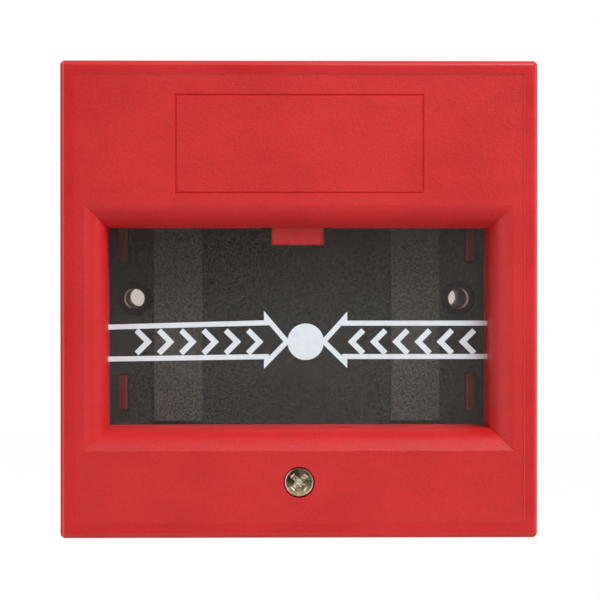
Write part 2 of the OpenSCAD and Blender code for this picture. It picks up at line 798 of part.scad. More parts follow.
module switch_rivets() color("#c8c4b8") stand() at_rivets() {
    half = switch_w / 2;
    rod(rivet_r, -half - 0.1, half + 0.1);
    for (side = [0, 1]) mirror([0, 0, side]) rod(rivet_r + 0.4, half + 0.02, half + 0.17);
}

module switch_plunger() color("#b83a2e") stand() translate([0, switch_y, 0]) {
    low = blade_z - contact_slope(0) + blade_t / 2 + 2 * hair;
    rod(plunger_r, low, switch_front + 0.9);
    rod(plunger_r + 0.6, low + 0.9, low + 1.9);
}

// How far the pressed blade lies below its fixed end, at the given place along the switch
function contact_slope(x) = blade_drop * (common_x - x) / (common_x - contact_x);

module switch_blade() color("#c98f4e") stand()
    translate([common_x, switch_y, blade_z]) rotate([0, -blade_angle, 0]) {
        reach = common_x - contact_x + 0.9;
        translate([-reach, -blade_w / 2, -blade_t / 2]) cube([reach + 0.4, blade_w, blade_t]);
    }

module terminal_common() color("#c9b27a") stand()
    strip(common_x, switch_back - tag_end, blade_z - blade_t / 2 - hair);

module terminal_open() color("#c9b27a") stand() {
    contact_top = blade_z - blade_drop - blade_t / 2 - 2 * hair;
    arm_top = contact_top - contact_h;
    strip(open_x, switch_back - tag_end, arm_top);
    translate([contact_x - arm_past, switch_y - terminal_w / 2, arm_top - terminal_t])
        cube([open_x - contact_x + arm_past, terminal_w, terminal_t]);
    translate([contact_x, switch_y, 0]) rod(contact_r, arm_top - terminal_t / 2, contact_top);
}

module terminal_closed() color("#c9b27a") stand() {
    contact_low = blade_z - 0.25;
    arm_low = contact_low + contact_h;
    strip(closed_x, switch_back - tag_end, arm_low + terminal_t);
    translate([closed_x - terminal_t / 2, switch_y - terminal_w / 2, arm_low])
        cube([contact_x - closed_x + arm_past, terminal_w, terminal_t]);
    translate([contact_x, switch_y, 0]) rod(contact_r, contact_low, arm_low + terminal_t / 2);
}

// ---------------------------------------------------------------------------------------------
// Circuit board and terminal block

module circuit_board() color("#2f6b3c") stand() difference() {
    translate([0, board_mid, 0]) bar(board_w, board_h, 1.5, board_back, board_front);
    at_board_holes() rod(board_screw_r + 0.2, board_back - cut, board_front + cut);
    at_tags() slab(terminal_t + 2 * fit_gap, terminal_w + 2 * fit_gap, board_back - cut, board_front + cut);
    at_poles() rod(pole_pin_r + pole_fit, board_back - cut, board_front + cut);
}

module board_screws() color("#c3c6c9") stand() at_board_holes() difference() {
    head_end = board_back - board_screw_head_h;
    union() {
        rod(board_screw_r, board_back - 0.1, board_front + board_screw_length);
        rod(board_screw_head_r, head_end, board_back);
    }
    for (turn = [0, 90]) rotate([0, 0, turn]) slab(2.2, 0.5, head_end - cut, head_end + 0.8);
}

module terminal_block() color("#3f7d4b") stand() difference() {
    block_back = board_back - block_d;
    chamber = board_back - cage_top - cage_d - pole_fit;
    entry_z = chamber + pole_fit + 2 * cage_wall + (cage_mouth - entry_h) / 2;
    translate([0, block_y, 0]) slab(block_w, block_h, block_back, board_back);
    at_poles() {
        // Chamber of the cage, well of its screw and entry of its wire
        slab(cage_w + 2 * pole_fit, cage_h + 2 * pole_fit, chamber, board_back + cut);
        rod(well_r, block_back - cut, chamber + cut / 2);
        translate([-entry_w / 2, -block_h, entry_z]) cube([entry_w, block_h, entry_h]);
    }
    translate([0, block_y - block_h / 2, block_back]) rotate([45, 0, 0])
        slab(2 * block_w, block_bevel, -block_bevel / 2, block_bevel / 2);
}

module clamp_cages() color("#bfc3c6") stand() at_poles() {
    low = board_back - cage_top - cage_d;
    difference() {
        slab(cage_w, cage_h, low, board_back - cage_top);
        translate([cage_wall - cage_w / 2, -cage_h, low + 2 * cage_wall])
            cube([cage_w - 2 * cage_wall, 2 * cage_h, cage_mouth]);
        rod(clamp_shank_r + hair, low - cut, low + 2 * cage_wall + cut / 2);
    }
    rod(pole_pin_r, board_back - cage_top - hair, board_front + pole_pin_end);
}

module clamp_screws() color("#c9ccce") stand() at_poles() {
    end = board_back - block_d + clamp_head_drop;
    tip = board_back - cage_top - cage_d + 3 * cage_wall;
    difference() {
        rod(clamp_head_r, end, end + clamp_head_h);
        slab(3 * clamp_head_r, clamp_slot_w, end - cut, end + clamp_slot_h);
    }
    rod(clamp_shank_r, end + clamp_head_h - hair, tip);
}

back_box();
base_plate();
threaded_insert();
front_cover();
glass_frame();
glass_pane();
legend_film();
cover_screw();
trip_lever();
pivot_pin();
trip_spring();
switch_body();
switch_lid();
switch_rivets();
switch_plunger();
switch_blade();
terminal_common();
terminal_open();
terminal_closed();
circuit_board();
board_screws();
terminal_block();
clamp_cages();
clamp_screws();
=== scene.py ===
# Looks of the manual call point, built round the frame of its solids: materials, printed
# pictogram, detailed cover screw, solder and tracks, light, floor and camera.
import bpy, bmesh, math
from mathutils import Matrix, Vector


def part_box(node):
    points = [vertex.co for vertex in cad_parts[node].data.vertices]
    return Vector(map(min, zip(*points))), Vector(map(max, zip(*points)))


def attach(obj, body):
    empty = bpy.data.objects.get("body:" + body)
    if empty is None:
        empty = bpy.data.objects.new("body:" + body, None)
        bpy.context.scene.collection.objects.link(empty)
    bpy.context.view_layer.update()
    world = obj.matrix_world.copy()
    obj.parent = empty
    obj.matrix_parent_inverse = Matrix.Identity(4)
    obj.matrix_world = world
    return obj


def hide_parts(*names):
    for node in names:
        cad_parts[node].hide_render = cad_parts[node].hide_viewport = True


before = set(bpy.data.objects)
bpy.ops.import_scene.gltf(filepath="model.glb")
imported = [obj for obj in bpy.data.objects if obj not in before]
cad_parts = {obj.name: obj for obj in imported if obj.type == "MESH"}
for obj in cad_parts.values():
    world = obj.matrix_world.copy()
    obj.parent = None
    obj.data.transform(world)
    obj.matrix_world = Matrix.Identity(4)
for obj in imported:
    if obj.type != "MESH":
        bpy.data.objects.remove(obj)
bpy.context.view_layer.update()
MM = 0.001


def lin(r, g, b):
    """Linear colour from the 0 to 255 values of a screen."""
    def one(v):
        v /= 255
        return v / 12.92 if v <= 0.04045 else ((v + 0.055) / 1.055) ** 2.4
    return (one(r), one(g), one(b), 1.0)


def put_in_scene(name, data):
    obj = bpy.data.objects.new(name, data)
    bpy.context.scene.collection.objects.link(obj)
    return obj


# ---------------------------------------------------------------------------------------------
# Node helpers

class Shader:
    """A material's node tree with short calls to build it."""

    def __init__(self, name):
        self.mat = bpy.data.materials.new(name)
        self.mat.use_nodes = True
        self.tree = self.mat.node_tree
        self.tree.nodes.clear()
        self.out = self.add("ShaderNodeOutputMaterial")
        self.bsdf = self.add("ShaderNodeBsdfPrincipled")
        self.link(self.bsdf.outputs[0], self.out.inputs["Surface"])
        self.coords = self.add("ShaderNodeTexCoord").outputs["Object"]

    def add(self, kind, **settings):
        node = self.tree.nodes.new(kind)
        for key, value in settings.items():
            setattr(node, key, value)
        return node

    def link(self, a, b):
        self.tree.links.new(a, b)

    def put(self, socket, value):
        if isinstance(value, bpy.types.NodeSocket):
            self.link(value, socket)
        else:
            socket.default_value = value

    def feed(self, name, value):
        """Gives a value or a socket to the shader's input of that name."""
        self.put(self.bsdf.inputs[name], value)

    def colour(self):
        """What feeds the base colour so far, to be mixed with more."""
        return self.bsdf.inputs["Base Color"].links[0].from_socket

    def noise(self, per_mm, detail=2.0, rough=0.5, stretch=(1, 1, 1)):
        """Noise with about per_mm waves in a millimetre."""
        mapping = self.add("ShaderNodeMapping")
        self.link(self.coords, mapping.inputs["Vector"])
        mapping.inputs["Scale"].default_value = stretch
        node = self.add("ShaderNodeTexNoise")
        self.link(mapping.outputs[0], node.inputs["Vector"])
        node.inputs["Scale"].default_value = per_mm * 1000
        node.inputs["Detail"].default_value = detail
        node.inputs["Roughness"].default_value = rough
        return node.outputs["Fac"]

    def math(self, op, a, b=0.0, clamp=False):
        node = self.add("ShaderNodeMath", operation=op, use_clamp=clamp)
        self.put(node.inputs[0], a)
        self.put(node.inputs[1], b)
        return node.outputs[0]

    def product(self, *factors):
        result = factors[0]
        for factor in factors[1:]:
            result = self.math("MULTIPLY", result, factor)
        return result

    def length(self, a, b):
        """Length of the vector with the two components."""
        return self.math("SQRT", self.math("ADD", self.product(a, a), self.product(b, b)))

    def ramp(self, value, lo, hi, out_lo=0.0, out_hi=1.0):
        """Maps lo..hi to out_lo..out_hi, held at both ends."""
        node = self.add("ShaderNodeMapRange")
        self.put(node.inputs["Value"], value)
        limits = {"From Min": lo, "From Max": hi, "To Min": out_lo, "To Max": out_hi}
        for key, limit in limits.items():
            self.put(node.inputs[key], limit)
        return node.outputs["Result"]

    def fade(self, value, lo, hi, most=1.0):
        """Falls from most to 0 between lo and hi."""
        return self.ramp(value, lo, hi, most, 0.0)

    def mix(self, fac, a, b):
        node = self.add("ShaderNodeMix", data_type="RGBA")
        self.put(node.inputs[0], fac)
        self.put(node.inputs[6], a)
        self.put(node.inputs[7], b)
        return node.outputs[2]

    def xyz(self):
        node = self.add("ShaderNodeSeparateXYZ")
        self.link(self.coords, node.inputs[0])
        return node.outputs

    def bump(self, height, depth_mm):
        node = self.add("ShaderNodeBump")
        node.inputs["Strength"].default_value = 1.0
        node.inputs["Distance"].default_value = depth_mm * MM
        self.put(node.inputs["Height"], height)
        self.link(node.outputs[0], self.bsdf.inputs["Normal"])


def plastic(name, colour, dark, grain_mm=0.012, waves=3.2, rough=(0.36, 0.5), mask=None,
            specular=0.4):
    """Moulded plastic: uneven colour, fine grain, rougher where the mask says it is grained."""
    s = Shader(name)
    clouds = s.noise(0.05, detail=3.0, rough=0.6)
    flow = s.noise(0.35, stretch=(0.3, 1, 1))
    tone = s.math("ADD", s.ramp(clouds, 0.35, 0.65, 0.0, 0.6), s.ramp(flow, 0.3, 0.7, 0.0, 0.4))
    grain = s.noise(waves, rough=0.6)
    tone = s.math("ADD", tone, s.ramp(grain, 0.3, 0.7, -0.35, 0.35), clamp=True)
    s.feed("Base Color", s.mix(tone, dark, colour))
    grained = mask(s) if mask else 1.0
    rough_map = s.ramp(clouds, 0.3, 0.7, rough[0], rough[1])
    s.feed("Roughness", s.math("ADD", rough_map, s.product(grained, 0.1), clamp=True))
    height = s.math("ADD", s.product(grained, 0.85), 0.15)
    s.bump(s.product(grain, height), grain_mm)
    s.bsdf.inputs["Specular IOR Level"].default_value = specular
    return s


def metal(name, colour, dark, rough=(0.22, 0.42), brush=(1, 1, 8), waves=1.2, depth=0.004):
    """Plated or drawn metal: cloudy tone, fine directional marks, smudged roughness."""
    s = Shader(name)
    clouds = s.noise(0.4, detail=3.0, rough=0.6)
    marks = s.noise(waves, detail=3.0, rough=0.6, stretch=brush)
    s.feed("Base Color", s.mix(s.ramp(clouds, 0.3, 0.7), dark, colour))
    s.feed("Roughness", s.ramp(marks, 0.3, 0.7, rough[0], rough[1]))
    s.bsdf.inputs["Metallic"].default_value = 1.0
    s.bump(marks, depth)
    return s


def lets_light_through(s, tint):
    """Glass that lets the lamps reach what is behind it."""
    path = s.add("ShaderNodeLightPath")
    clear = s.add("ShaderNodeBsdfTransparent")
    clear.inputs[0].default_value = tint
    mixer = s.add("ShaderNodeMixShader")
    s.link(path.outputs["Is Shadow Ray"], mixer.inputs[0])
    s.link(s.bsdf.outputs[0], mixer.inputs[1])
    s.link(clear.outputs[0], mixer.inputs[2])
    s.link(mixer.outputs[0], s.out.inputs["Surface"])


# ---------------------------------------------------------------------------------------------
# Materials of the solids

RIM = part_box("front_cover")[0].y             # foremost plane of the cover
FACE = RIM + 0.15 * MM                       # the sunk face behind the rim
STEP = 40.4 * MM                             # from the middle to the foot of the rim's step
RIM_EDGE = 42 * MM                           # from the middle to the rim's outer edge
WINDOW_RIGHT, WINDOW_TOP, WINDOW_BOTTOM = 34.6 * MM, 12.8 * MM, -22.7 * MM
BAND_PLANE = -33.3 * MM                      # between the plate's bands and the plate
CLIP_TIP = -31.4 * MM                        # where the tips of the box's clips begin
FIXING_X = 30 * MM                           # fixing screws, from the middle
BORE_R, SEAT_FLOOR_R, SEAT_R = 2.6, 2.75, 3.2
COVER_GLOSS, DULL_GLOSS = 0.46, 0.26


def face_grain(s):
    """The sunk face is grained; the rim and the rolled edge are nearly smooth."""
    y = s.xyz()[1]
    sunk = s.ramp(y, FACE - 0.1 * MM, FACE - 0.05 * MM)
    return s.product(sunk, s.ramp(y, FACE + 0.4 * MM, FACE + 1.6 * MM, 1.0, 0.25))


def round_fixings(s, reach):
    """1 within reach, in millimetres, of the axes of the two fixing screws."""
    x, _, z = s.xyz()
    across = s.math("SUBTRACT", s.math("ABSOLUTE", x), FIXING_X)
    return s.fade(s.length(across, z), (reach - 0.08) * MM, (reach + 0.08) * MM)


def cover_look():
    """Grained red face, with painted highlights on edges of its rim and painted shade on the face
    before the rim's step.
    """
    s = plastic("red_face", lin(208, 35, 37), lin(192, 29, 31), 0.06, 2.6, (0.36, 0.45),
                face_grain, COVER_GLOSS)
    pale, deep = lin(255, 120, 116), lin(164, 24, 26)
    plain = s.colour()
    x, y, z = s.xyz()
    reach = s.math("MAXIMUM", s.math("ABSOLUTE", x), s.math("ABSOLUTE", z))
    behind_rim = s.ramp(y, RIM + 0.02 * MM, RIM + 0.05 * MM)
    edge = s.product(behind_rim, s.fade(y, FACE - 0.03 * MM, FACE - 0.01 * MM))
    # Painted highlight: the rim's outer edge is lighter on the left only
    outer = s.ramp(reach, RIM_EDGE - 0.5 * MM, RIM_EDGE)
    left = s.fade(x, -RIM_EDGE - 0.2 * MM, -RIM_EDGE + 0.2 * MM, 0.6)
    edge_colour = s.mix(outer, pale, s.mix(left, plain, lin(236, 92, 90)))
    # Painted highlight on its step and the step's foot at the top and the right, and painted shade
    # darkening the face just before the step there
    top_right = s.math("MINIMUM", s.ramp(x, -STEP + 0.1 * MM, -STEP + 0.2 * MM),
                       s.ramp(z, -STEP + 0.1 * MM, -STEP + 0.2 * MM))
    foot = s.product(s.ramp(reach, STEP - 0.04 * MM, STEP + 0.04 * MM),
                     s.fade(reach, STEP + 0.5 * MM, STEP + 0.6 * MM, 0.5),
                     behind_rim, top_right)
    shade_before_step = s.product(s.ramp(reach, STEP - 0.6 * MM, STEP - 0.1 * MM),
                    s.fade(reach, STEP, STEP + 0.02 * MM, 0.35), top_right)
    # Mask of the painted highlights on the step and the outer edge
    painted_highlight_mask = s.product(edge, s.math("MAXIMUM", outer, top_right))
    colour = s.mix(foot, s.mix(shade_before_step, plain, deep), pale)
    s.feed("Base Color", s.mix(painted_highlight_mask, colour, edge_colour))
    # The rolled edge of the window is less glossy on all sides but the right one
    roll = s.ramp(y, FACE + 0.05 * MM, FACE + 0.5 * MM)
    above = s.math("SUBTRACT", z, WINDOW_TOP)
    below = s.math("SUBTRACT", WINDOW_BOTTOM, z)
    on_right = s.math("SUBTRACT", s.math("SUBTRACT", x, WINDOW_RIGHT),
                      s.math("MAXIMUM", above, below))
    dull = s.product(roll, s.fade(on_right, -0.3 * MM, 0.3 * MM))
    s.feed("Specular IOR Level", s.ramp(dull, 0.0, 1.0, COVER_GLOSS, DULL_GLOSS))
    return s


def back_box_look():
    """Red box; painted shade darkens its clips' tips, and its fixing bores have painted light on
    their outer side and painted shade on the rest.
    """
    s = plastic("red_box", lin(200, 42, 42), lin(184, 35, 35), 0.014, 2.8, (0.42, 0.55))
    x, y, _ = s.xyz()
    # Painted shade: the clips' tips are darker
    tips = s.fade(y, CLIP_TIP - 0.2 * MM, CLIP_TIP + 0.2 * MM)
    colour = s.mix(tips, s.colour(), lin(112, 30, 30))
    # Painted light on the outer side of each fixing bore, painted shade on the rest of it
    lit_bore_side = s.product(s.fade(y, -16 * MM, -10 * MM),
                         s.ramp(s.math("ABSOLUTE", x), FIXING_X + 0.4 * MM, FIXING_X + 1.4 * MM))
    bore_light_and_shade = s.mix(lit_bore_side, lin(92, 46, 44), lin(240, 186, 178))
    s.feed("Base Color", s.mix(round_fixings(s, BORE_R), colour, bore_light_and_shade))
    return s


def plate_look():
    """Black plate, its bands paler and grainier; tints stand in for the shade in its seats."""
    s = plastic("black_plate", lin(21, 20, 19), lin(14, 13, 12), 0.03, 2.0, (0.5, 0.62),
                specular=0.22)
    band = s.fade(s.xyz()[1], BAND_PLANE - 0.1 * MM, BAND_PLANE + 0.1 * MM)
    band_grain = s.noise(2.4, detail=3.0, rough=0.7)
    plate_grain = s.noise(1.7, detail=3.0, rough=0.65)
    band_colour = s.mix(s.ramp(band_grain, 0.38, 0.62), lin(37, 36, 33), lin(82, 80, 76))
    plate_colour = s.mix(s.ramp(plate_grain, 0.38, 0.62), s.colour(), lin(54, 52, 48))
    colour = s.mix(band, plate_colour, band_colour)
    colour = s.mix(round_fixings(s, SEAT_R), colour, lin(6, 5, 5))
    s.feed("Base Color", s.mix(round_fixings(s, SEAT_FLOOR_R), colour, lin(20, 17, 17)))
    return s


SCREW_LO, SCREW_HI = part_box("cover_screw")
SCREW_X = (SCREW_LO.x + SCREW_HI.x) / 2
SCREW_Z = (SCREW_LO.z + SCREW_HI.z) / 2
HEAD_R = (SCREW_HI.x - SCREW_LO.x) / 2 - 0.01 * MM


def screw_look():
    """Tarnished zinc, with painted highlights on the left and right of the head's edge and painted
    glints in its recess.
    """
    s = metal("zinc_screw", lin(222, 208, 176), lin(140, 124, 90), (0.15, 0.3), (2, 1, 2),
              1.6, 0.014)
    front = SCREW_LO.y
    x, y, z = s.xyz()
    dx, dz = s.math("SUBTRACT", x, SCREW_X), s.math("SUBTRACT", z, SCREW_Z)
    off = s.length(dx, dz)
    # Painted highlight on the head's edge, strongest on its left and right
    head_edge = s.product(s.ramp(off, HEAD_R - 0.28 * MM, HEAD_R - 0.18 * MM),
                          s.fade(y, front + 0.6 * MM, front + 0.7 * MM),
                          s.ramp(s.math("ABSOLUTE", dx), 0.8 * MM, 1.9 * MM, 0.3, 1.0))
    # Painted glints on the ends of the recess's diagonal arms
    along = s.math("ABSOLUTE", s.product(s.math("ADD", dx, dz), math.sqrt(0.5)))
    cross = s.math("ABSOLUTE", s.product(s.math("SUBTRACT", dx, dz), math.sqrt(0.5)))
    arm_end = s.product(s.ramp(s.math("MAXIMUM", along, cross), 1.5 * MM, 1.6 * MM),
                        s.fade(s.math("MINIMUM", along, cross), 0.5 * MM, 0.55 * MM),
                        s.ramp(y, front + 0.24 * MM, front + 0.3 * MM),
                        s.fade(y, front + 0.9 * MM, front + 1.0 * MM))
    # Painted glints in the middle of the recess and in patches round it
    patches = s.product(s.ramp(s.noise(2.4), 0.44, 0.56), s.fade(off, 1.15 * MM, 1.4 * MM))
    recess_glints = s.math("MAXIMUM", patches, s.fade(off, 0.5 * MM, 0.65 * MM))
    recess_glints = s.product(recess_glints, s.ramp(y, front + 0.3 * MM, front + 0.5 * MM))
    painted_highlight_mask = s.math("MAXIMUM", s.math("MAXIMUM", head_edge, arm_end), recess_glints)
    tarnish = s.ramp(s.noise(2.0, detail=3.0, rough=0.6), 0.42, 0.58)
    colour = s.mix(tarnish, s.colour(), lin(156, 136, 100))
    # Where the painted highlights and glints are, the zinc is painted near white and not metallic
    s.feed("Base Color", s.mix(painted_highlight_mask, colour, lin(255, 250, 234)))
    s.feed("Metallic", s.ramp(painted_highlight_mask, 0.0, 1.0, 1.0, 0.05))
    return s


red_face = cover_look()
red_inner = plastic("red_inner", lin(186, 40, 38), lin(172, 34, 33), 0.008, 2.6, (0.42, 0.55))
red_box = back_box_look()
# The trip lever's red is painted lighter than the cover's: painted light where the window's top
# edge shades it
red_lever = plastic("red_lever", lin(244, 36, 38), lin(232, 31, 33), 0.006, 2.6, (0.34, 0.46))
black = plate_look()
switch_black = plastic("switch_black", lin(38, 38, 40), lin(30, 30, 32), 0.006, 3.0, (0.42, 0.55))
plunger_red = plastic("plunger_red", lin(190, 52, 44), lin(170, 44, 38), 0.004, 4.0, (0.35, 0.5))
block_green = plastic("block_green", lin(60, 128, 74), lin(50, 112, 64), 0.006, 2.6, (0.36, 0.5))
brass = metal("brass_insert", lin(206, 172, 98), lin(176, 140, 74))
contact_metal = metal("contact_metal", lin(214, 190, 134), lin(188, 160, 104), (0.2, 0.36),
                      (1, 8, 1))
steel = metal("bright_steel", lin(206, 208, 210), lin(170, 173, 177))
spring_steel = metal("spring_steel", lin(176, 180, 186), lin(140, 144, 150), (0.25, 0.4),
                     (8, 1, 1))
zinc = screw_look()
board = plastic("solder_resist", lin(38, 96, 52), lin(30, 80, 42), 0.004, 3.0, (0.28, 0.4))

pane = Shader("clear_glass")
pane.bsdf.inputs["Base Color"].default_value = (0.97, 0.99, 0.98, 1)
pane.bsdf.inputs["Transmission Weight"].default_value = 1.0
pane.bsdf.inputs["IOR"].default_value = 1.5
pane.feed("Roughness", pane.ramp(pane.noise(0.08, detail=3.0, rough=0.6), 0.3, 0.75, 0.0, 0.004))
lets_light_through(pane, (0.95, 0.97, 0.96, 1))

film = Shader("clear_film")
film.bsdf.inputs["Base Color"].default_value = (0.4, 0.4, 0.4, 1)
film.bsdf.inputs["Alpha"].default_value = 0.01
film.feed("Roughness", film.ramp(film.noise(0.15, detail=3.0, rough=0.6), 0.3, 0.75, 0.08, 0.2))

LOOKS = {
    "back_box": red_box, "base_plate": black, "threaded_insert": brass, "front_cover": red_face,
    "glass_frame": red_inner, "glass_pane": pane, "legend_film": film, "cover_screw": zinc,
    "trip_lever": red_lever, "pivot_pin": steel, "trip_spring": spring_steel,
    "switch_body": switch_black, "switch_lid": switch_black, "switch_rivets": contact_metal,
    "switch_plunger": plunger_red, "switch_blade": contact_metal, "terminal_common": contact_metal,
    "terminal_open": contact_metal, "terminal_closed": contact_metal, "circuit_board": board,
    "board_screws": steel, "terminal_block": block_green, "clamp_cages": steel,
    "clamp_screws": steel,
}
for name, look in LOOKS.items():
    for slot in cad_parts[name].material_slots:
        slot.material = look.mat


# ---------------------------------------------------------------------------------------------
# Printed pictogram on the film: two arrows, a dot and plain chevrons

PRINT_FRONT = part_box("legend_film")[0].y
PRINT_T = 0.02 * MM


def flat_piece(name, outlines, material, y=PRINT_FRONT, thick=PRINT_T):
    """Thin printed shapes from closed outlines in X and Z, in millimetres."""
    curve = bpy.data.curves.new(name, "CURVE")
    curve.dimensions = "2D"
    curve.fill_mode = "BOTH"
    for outline in outlines:
        spline = curve.splines.new("POLY")
        spline.points.add(len(outline) - 1)
        for point, (x, z) in zip(spline.points, outline):
            point.co = (x * MM, z * MM, 0, 1)
        spline.use_cyclic_u = True
    curve.extrude = thick / 2
    helper = bpy.data.objects.new(name + "_curve", curve)
    mesh = bpy.data.meshes.new_from_object(helper)
    bpy.data.objects.remove(helper)
    # The curve lies in X and Y: stand it up and put it on the film
    mesh.transform(Matrix.Translation((0, y - thick / 2, 0)) @ Matrix.Rotation(math.pi / 2, 4, "X"))
    mesh.name = name
    mesh.materials.append(material)
    return put_in_scene(name, mesh)


def circle(cx, cz, r, steps=72):
    turns = [2 * math.pi * i / steps for i in range(steps)]
    return [(cx + r * math.cos(a), cz + r * math.sin(a)) for a in turns]


def stroke(points, width):
    """Outline of a bent line of even width, with mitred corners."""
    left, right = [], []
    for i, (x, y) in enumerate(points):
        before = Vector(points[i]) - Vector(points[i - 1]) if i else None
        after = Vector(points[i + 1]) - Vector(points[i]) if i + 1 < len(points) else None
        dirs = [d.normalized() for d in (before, after) if d is not None]
        normals = [Vector((-d.y, d.x)) for d in dirs]
        n = sum(normals, Vector((0, 0))).normalized()
        reach = width / 2 / max(0.2, n.dot(normals[0]))
        left.append((x + n.x * reach, y + n.y * reach))
        right.append((x - n.x * reach, y - n.y * reach))
    return left + right[::-1]


ink = Shader("white_ink")
ink_tone = ink.ramp(ink.noise(0.8, detail=3.0, rough=0.6), 0.3, 0.7)
ink.feed("Base Color", ink.mix(ink_tone, lin(218, 229, 236), lin(227, 237, 243)))
ink.feed("Roughness", ink.ramp(ink.noise(2.0), 0.3, 0.7, 0.45, 0.6))
ink.bump(ink.noise(3.0), 0.002)

# Sizes of the print in millimetres, in X and Z
DOT = (1.38, -7.8)
DOT_R = 3.32
DOT_PROUD = 0.006 * MM                       # keeps the dot's front off the arrows' plane
PRINT_HALF = 34.6                            # half the width of the print
LINE = 0.92                                  # width of the arrows' outline
CHEVRONS = 6                                 # on each side of the dot
CHEVRON_PITCH = 4.05
CHEVRON_START = 29.75                        # outermost chevron, from the dot
CHEVRON_LINE = 1.0
CHEVRON_BACK, CHEVRON_TIP, CHEVRON_RISE = 1.0, 1.1, 2.1

dot = flat_piece("print_dot", [circle(*DOT, DOT_R)], ink.mat, PRINT_FRONT - DOT_PROUD)

# Each outline runs from the upper end of the tail round the head to its lower end
left_arrow = [(-PRINT_HALF, -5.12), (-5.75, -4.34), (-5.75, -3.42), (-2.05, -7.78),
              (-5.75, -11.6), (-5.75, -10.5), (-PRINT_HALF, -10.93)]
right_arrow = [(PRINT_HALF, -4.42), (8.5, -4.42), (8.5, -3.5), (4.68, -7.74),
               (8.5, -11.5), (8.5, -10.5), (PRINT_HALF, -10.5)]
arrows = [stroke(outline, LINE) for outline in (left_arrow, right_arrow)]
arrow_piece = flat_piece("print_arrows", arrows, ink.mat)

chevrons = []
for i in range(CHEVRONS):
    for side in (1, -1):
        x = DOT[0] + side * (i * CHEVRON_PITCH - CHEVRON_START)
        z = DOT[1]
        back, tip = x - side * CHEVRON_BACK, x + side * CHEVRON_TIP
        chevrons.append(stroke([(back, z + CHEVRON_RISE), (tip, z), (back, z - CHEVRON_RISE)],
                               CHEVRON_LINE))
chevron_piece = flat_piece("print_chevrons", chevrons, ink.mat)

for piece in (dot, arrow_piece, chevron_piece):
    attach(piece, "cover")

# ---------------------------------------------------------------------------------------------
# Cover screw: pan head with a tapered cross recess, plain shank and cut thread

HEAD_H = 2.2 * MM
HEAD_EDGE = 0.2 * MM                         # rounding of the head's upper edge
DOME_R = 12 * MM
SHANK_R = 1.45 * MM
CORE_R = 1.2 * MM
PITCH = 0.5 * MM
RECESS_REACH = (2.25 * MM, 0.7 * MM)         # arm's end from the axis, at the top and at the bottom
RECESS_HALF = (0.5 * MM, 0.34 * MM)          # half the arm's width, at the top and at the bottom
RECESS_DEPTH = 1.45 * MM
POINT_HALF = (0.95 * MM, 0.4 * MM)           # half the recess's middle, at the same two levels
POINT_DEEPER = 0.15 * MM
CHAMFER = 0.12 * MM                          # of the head's lower edge
ARC_STEPS = 8                                # of the dome and of the head's rounding
THREAD_FOOT, THREAD_CREST = 0.47, 0.07       # half the ridge's widths, in parts of the pitch


def smooth(mesh, degrees):
    """Smooth shading with sharp edges beyond the given angle."""
    mesh.polygons.foreach_set("use_smooth", [True] * len(mesh.polygons))
    mesh.set_sharp_from_angle(angle=math.radians(degrees))


def piece_from(bm, name, material, smooth_deg=38):
    """Mesh object from a bmesh, smooth up to the given angle."""
    mesh = bpy.data.meshes.new(name)
    bmesh.ops.recalc_face_normals(bm, faces=bm.faces)
    bm.to_mesh(mesh)
    bm.free()
    mesh.materials.append(material)
    smooth(mesh, smooth_deg)
    return put_in_scene(name, mesh)


def lathe(bm, profile, x, z, steps=96):
    """Turned solid round an axis along Y, from pole to pole; profile lists (radius, y)."""
    rings = []
    for r, y in profile:
        turns = [2 * math.pi * i / steps for i in range(steps if r else 1)]
        rings.append([bm.verts.new((x + r * math.cos(a), y, z + r * math.sin(a))) for a in turns])
    for a, b in zip(rings, rings[1:]):
        for i in range(steps):
            j = (i + 1) % steps
            corners = [a[i % len(a)], b[i % len(b)], b[j % len(b)], a[j % len(a)]]
            bm.faces.new(list(dict.fromkeys(corners)))


def frustum(bm, x, z, front, back, half_front, half_back, turn):
    """Four-sided tapered block along Y, turned about Y."""
    rings = []
    c, s = math.cos(turn), math.sin(turn)
    for y, (hu, hv) in ((front, half_front), (back, half_back)):
        corners = ((-hu, -hv), (hu, -hv), (hu, hv), (-hu, hv))
        rings.append([bm.verts.new((x + u * c - v * s, y, z + u * s + v * c))
                      for u, v in corners])
    bm.faces.new(rings[0])
    bm.faces.new(rings[1])
    for i in range(4):
        bm.faces.new((rings[0][i - 1], rings[0][i], rings[1][i], rings[1][i - 1]))


def helix(bm, start, end, root, crest, pitch, x, z, steps=30):
    """Ridge of a screw thread, which runs out at both ends."""
    count = int((end - start) / pitch * steps)
    stations = []
    for i in range(count + 1):
        turn = 2 * math.pi * i / steps
        y = start + pitch * i / steps
        height = min(1, 2 * i / steps, 2 * (count - i) / steps)
        top = root + (crest - root) * height
        section = ((root, -THREAD_FOOT), (top, -THREAD_CREST), (top, THREAD_CREST),
                   (root, THREAD_FOOT))
        c, s = math.cos(turn), math.sin(turn)
        stations.append([bm.verts.new((x + r * c, y + k * pitch, z + r * s))
                         for r, k in section])
    for a, b in zip(stations, stations[1:]):
        for j in range(4):
            bm.faces.new((a[j - 1], a[j], b[j], b[j - 1]))
    bm.faces.new(stations[0])
    bm.faces.new(stations[-1])


